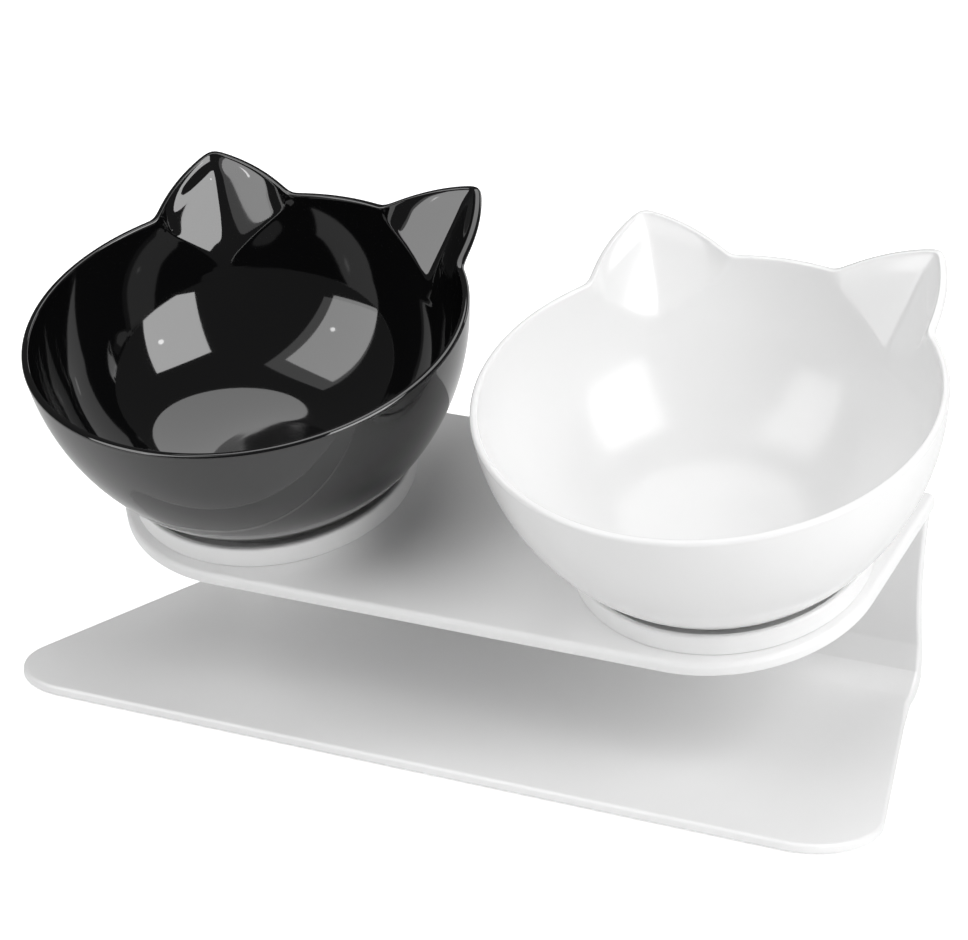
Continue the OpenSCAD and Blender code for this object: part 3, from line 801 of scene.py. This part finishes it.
def rim_rows():
    """The rim's inner rounding, narrow top and outer rounding."""
    turns = [math.pi / 2 * k / 4 for k in range(5)]
    rows = [(inner_edge + RIM_IN_R * (1 - math.cos(a)), rise - RIM_IN_R * (1 - math.sin(a)))
            for a in turns[1:]]
    flat = outer_edge - inner_edge - RIM_IN_R - RIM_OUT_R
    rows += [(inner_edge + RIM_IN_R + flat * t, rise) for t in (0.33, 0.67)]
    return rows + [(outer_edge - RIM_OUT_R * (1 - math.sin(a)),
                    rise - RIM_OUT_R * (1 - math.cos(a))) for a in turns]


def outside_rows():
    """The outside's wall with the ears, down to its lower corner."""
    low_d = EAR_ROWS_DEEP + OUTSIDE_MORE
    face = pocket + FACE_MORE
    top = fold(np.ones(AROUND), FOLD_SHARP)
    rows = []
    for d in np.linspace(RIM_OUT_R, low_d, 26 * FINE + 1)[1:]:
        below = d - RIM_OUT_R
        f = fold((face - below) / face, FOLD_SHARP) / top
        f = np.where(below > face * FACE_GONE, 0, f)
        rows.append((arc_radius(BOWL_ARC_R, -d) + (outer_edge - BOWL_R) * f, -d + rise * f))
    for z in np.linspace(-low_d, -bowl_base + LOW_CORNER_H, 14 * FINE + 1)[1:]:
        rows.append(ring(arc_radius(BOWL_ARC_R, z), z))
    return rows


def under_rows():
    """The lower corner, the foot ring and the bottom's lower face, outside to middle."""
    corner_r = arc_radius(BOWL_ARC_R, -bowl_base + LOW_CORNER_H)
    low = [(corner_r - 0.75, -bowl_base + 0.5), (corner_r - 1.35, -bowl_base + 0.12),
           (FOOT_R + 0.5, -bowl_base), (FOOT_R + 0.15, -bowl_base - 0.1),
           (FOOT_R, -bowl_base - 0.4), (FOOT_R, -bowl_foot + 0.5),
           (FOOT_R - 0.15, -bowl_foot + 0.15), (FOOT_R - 0.5, -bowl_foot)]
    in_foot = FOOT_R - FOOT_RING_T
    low += [(in_foot + 0.4, -bowl_foot), (in_foot + 0.1, -bowl_foot + 0.12),
            (in_foot, -bowl_foot + 0.4), (in_foot, under_z(in_foot) - 0.5),
            (in_foot - 0.5, under_z(in_foot - 0.5) - 0.04)]
    low += [(r, under_z(r)) for r in np.linspace(in_foot - 1.0, dish_edge, 16)]
    low += [(dish_r * math.sin(a), dish_z - BOWL_T + dish_r * (1 - math.cos(a)))
            for a in np.linspace(dish_turn, 0, 9)[1:]]
    return [ring(r, z) for r, z in low]


# Rows of (radius, height) from the inside's middle over the rim to the bottom's middle
bowl_rows = bottom_rows() + pocket_rows() + rim_rows() + outside_rows() + under_rows()


def bowl(side, name, node, material):
    """One bowl over the left (-1) or the right (1) seat."""
    a = np.radians(theta)
    shell = Shell()
    shell.grid(np.stack([np.column_stack([r * np.cos(a), r * np.sin(a), z + rim_h])
                         for r, z in bowl_rows]), closed=True)
    obj = shell.make(name, at_seat(side), f"{node}_body", node, material)
    sharpen(obj, 60)


bowl(-1, "black_bowl_shell", "black_bowl", bowl_black)
bowl(1, "white_bowl_shell", "white_bowl", bowl_white)

# Floor, light and camera, in metres
FLOOR_X, FLOOR_FRONT, FLOOR_BACK, FLOOR_Z = 1.2, -0.62, 1.6, -2e-5
# The glow that whitens the floor for the camera, and the share of it that mirrors show
FLOOR_GREY, FLOOR_GLOW, MIRRORED_SHARE = 0.86, 0.76, 0.15
# The world's strength where it lights the object, and behind it for the camera
ROOM, BACKDROP = 0.09, 1.0
# What the lamps look at, in the black bowl
LAMP_AIM = Vector((-0.09, 0.035, 0.1))
# The solved camera: focal length in pixels of the photo's width, place, and turns in radians
PHOTO_W, FOCAL_PX, SENSOR_W = 968, 3195.354, 36
CAMERA_MM = Vector((358.303, -819.608, 389.984))
YAW, PITCH, ROLL = -0.4113535, -0.3359464, 0.0283639


def mixed(nt, fac, first, second):
    """The first shader where fac is 0, the second where it is 1."""
    mix = nt.nodes.new("ShaderNodeMixShader")
    nt.links.new(fac, mix.inputs[0])
    nt.links.new(first.outputs[0], mix.inputs[1])
    nt.links.new(second.outputs[0], mix.inputs[2])
    return mix


def math_node(nt, operation):
    n = nt.nodes.new("ShaderNodeMath")
    n.operation = operation
    return n


ground = bpy.data.meshes.new("studio_floor")
ground.from_pydata([(-FLOOR_X, FLOOR_FRONT, FLOOR_Z), (FLOOR_X, FLOOR_FRONT, FLOOR_Z),
                    (FLOOR_X, FLOOR_BACK, FLOOR_Z), (-FLOOR_X, FLOOR_BACK, FLOOR_Z)],
                   [], [(0, 1, 2, 3)])
floor = bpy.data.objects.new("studio_floor", ground)
bpy.context.scene.collection.objects.link(floor)
m = bpy.data.materials.new("studio_floor")
nt = empty_tree(m)
out = nt.nodes.new("ShaderNodeOutputMaterial")
diffuse = nt.nodes.new("ShaderNodeBsdfDiffuse")
diffuse.inputs["Color"].default_value = (FLOOR_GREY, FLOOR_GREY, FLOOR_GREY, 1)
glow = nt.nodes.new("ShaderNodeEmission")
glow.inputs["Strength"].default_value = FLOOR_GLOW
plus = nt.nodes.new("ShaderNodeAddShader")
nt.links.new(diffuse.outputs[0], plus.inputs[0])
nt.links.new(glow.outputs[0], plus.inputs[1])
rays = nt.nodes.new("ShaderNodeLightPath")
mirrored = math_node(nt, "MULTIPLY")
mirrored.inputs[1].default_value = MIRRORED_SHARE
nt.links.new(rays.outputs["Is Glossy Ray"], mirrored.inputs[0])
seen = math_node(nt, "MAXIMUM")
nt.links.new(rays.outputs["Is Camera Ray"], seen.inputs[0])
nt.links.new(mirrored.outputs[0], seen.inputs[1])
lit = mixed(nt, seen.outputs[0], diffuse, plus)
nt.links.new(lit.outputs[0], out.inputs["Surface"])
ground.materials.append(m)

world = bpy.data.worlds.new("studio")
bpy.context.scene.world = world
nt = empty_tree(world)
out = nt.nodes.new("ShaderNodeOutputWorld")
rays = nt.nodes.new("ShaderNodeLightPath")
lights = []
for strength in (ROOM, BACKDROP):
    light = nt.nodes.new("ShaderNodeBackground")
    light.inputs["Color"].default_value = (1, 1, 1, 1)
    light.inputs["Strength"].default_value = strength
    lights.append(light)
lit = mixed(nt, rays.outputs["Is Camera Ray"], *lights)
nt.links.new(lit.outputs[0], out.inputs["Surface"])


def softbox(name, azimuth, elevation, distance, width, height, radiance, shape="RECTANGLE"):
    """A lamp that looks at the black bowl, with its place in degrees as seen from there:
    azimuth 0 is in front, 90 to the right."""
    az, el = math.radians(azimuth), math.radians(elevation)
    way = Vector((math.sin(az) * math.cos(el), -math.cos(az) * math.cos(el), math.sin(el)))
    data = bpy.data.lights.new(name, "AREA")
    data.shape = shape
    data.size, data.size_y = width, height
    area = width * height * (1 if shape == "RECTANGLE" else math.pi / 4)
    data.energy = radiance * area * math.pi
    lamp = bpy.data.objects.new(name, data)
    bpy.context.scene.collection.objects.link(lamp)
    lamp.location = LAMP_AIM + distance * way
    lamp.rotation_euler = (-way).to_track_quat("-Z", "Y").to_euler()


# Name, azimuth, elevation, distance, width, height, radiance
softbox("softbox_right", 69.5, 27, 1.3, 0.76, 1.12, 4.9)
softbox("softbox_front", -35.5, 31, 1.3, 0.71, 1.27, 2.6)
softbox("softbox_front_skirt", -33, 36, 1.36, 0.92, 1.50, 0.6)
softbox("softbox_top", -165, 78.7, 1.4, 1.18, 1.18, 2.0, "ELLIPSE")
softbox("softbox_back", 168, 22, 1.6, 1.0, 0.7, 1.6)
# The two that give the pin-point highlights
softbox("lamp_right", 78, 31, 1.25, 0.07, 0.07, 6.5, "ELLIPSE")
softbox("lamp_front", -27, 27, 1.25, 0.06, 0.06, 6.5, "ELLIPSE")

camera_data = bpy.data.cameras.new("camera")
camera = bpy.data.objects.new("camera", camera_data)
bpy.context.scene.collection.objects.link(camera)
bpy.context.scene.camera = camera
camera_data.sensor_width = SENSOR_W
camera_data.sensor_fit = "HORIZONTAL"
camera_data.lens = FOCAL_PX / PHOTO_W * SENSOR_W
camera_data.clip_start = 0.05
camera_data.clip_end = 50
ahead = Vector((math.sin(YAW) * math.cos(PITCH), math.cos(YAW) * math.cos(PITCH),
                math.sin(PITCH)))
level_right = Vector((math.cos(YAW), -math.sin(YAW), 0))
level_up = level_right.cross(ahead)
right = math.cos(ROLL) * level_right + math.sin(ROLL) * level_up
up = -math.sin(ROLL) * level_right + math.cos(ROLL) * level_up
turned = Matrix(((right.x, up.x, -ahead.x), (right.y, up.y, -ahead.y),
                 (right.z, up.z, -ahead.z)))
camera.matrix_world = Matrix.Translation(CAMERA_MM * MM) @ turned.to_4x4()

bpy.context.scene.view_settings.view_transform = "Standard"
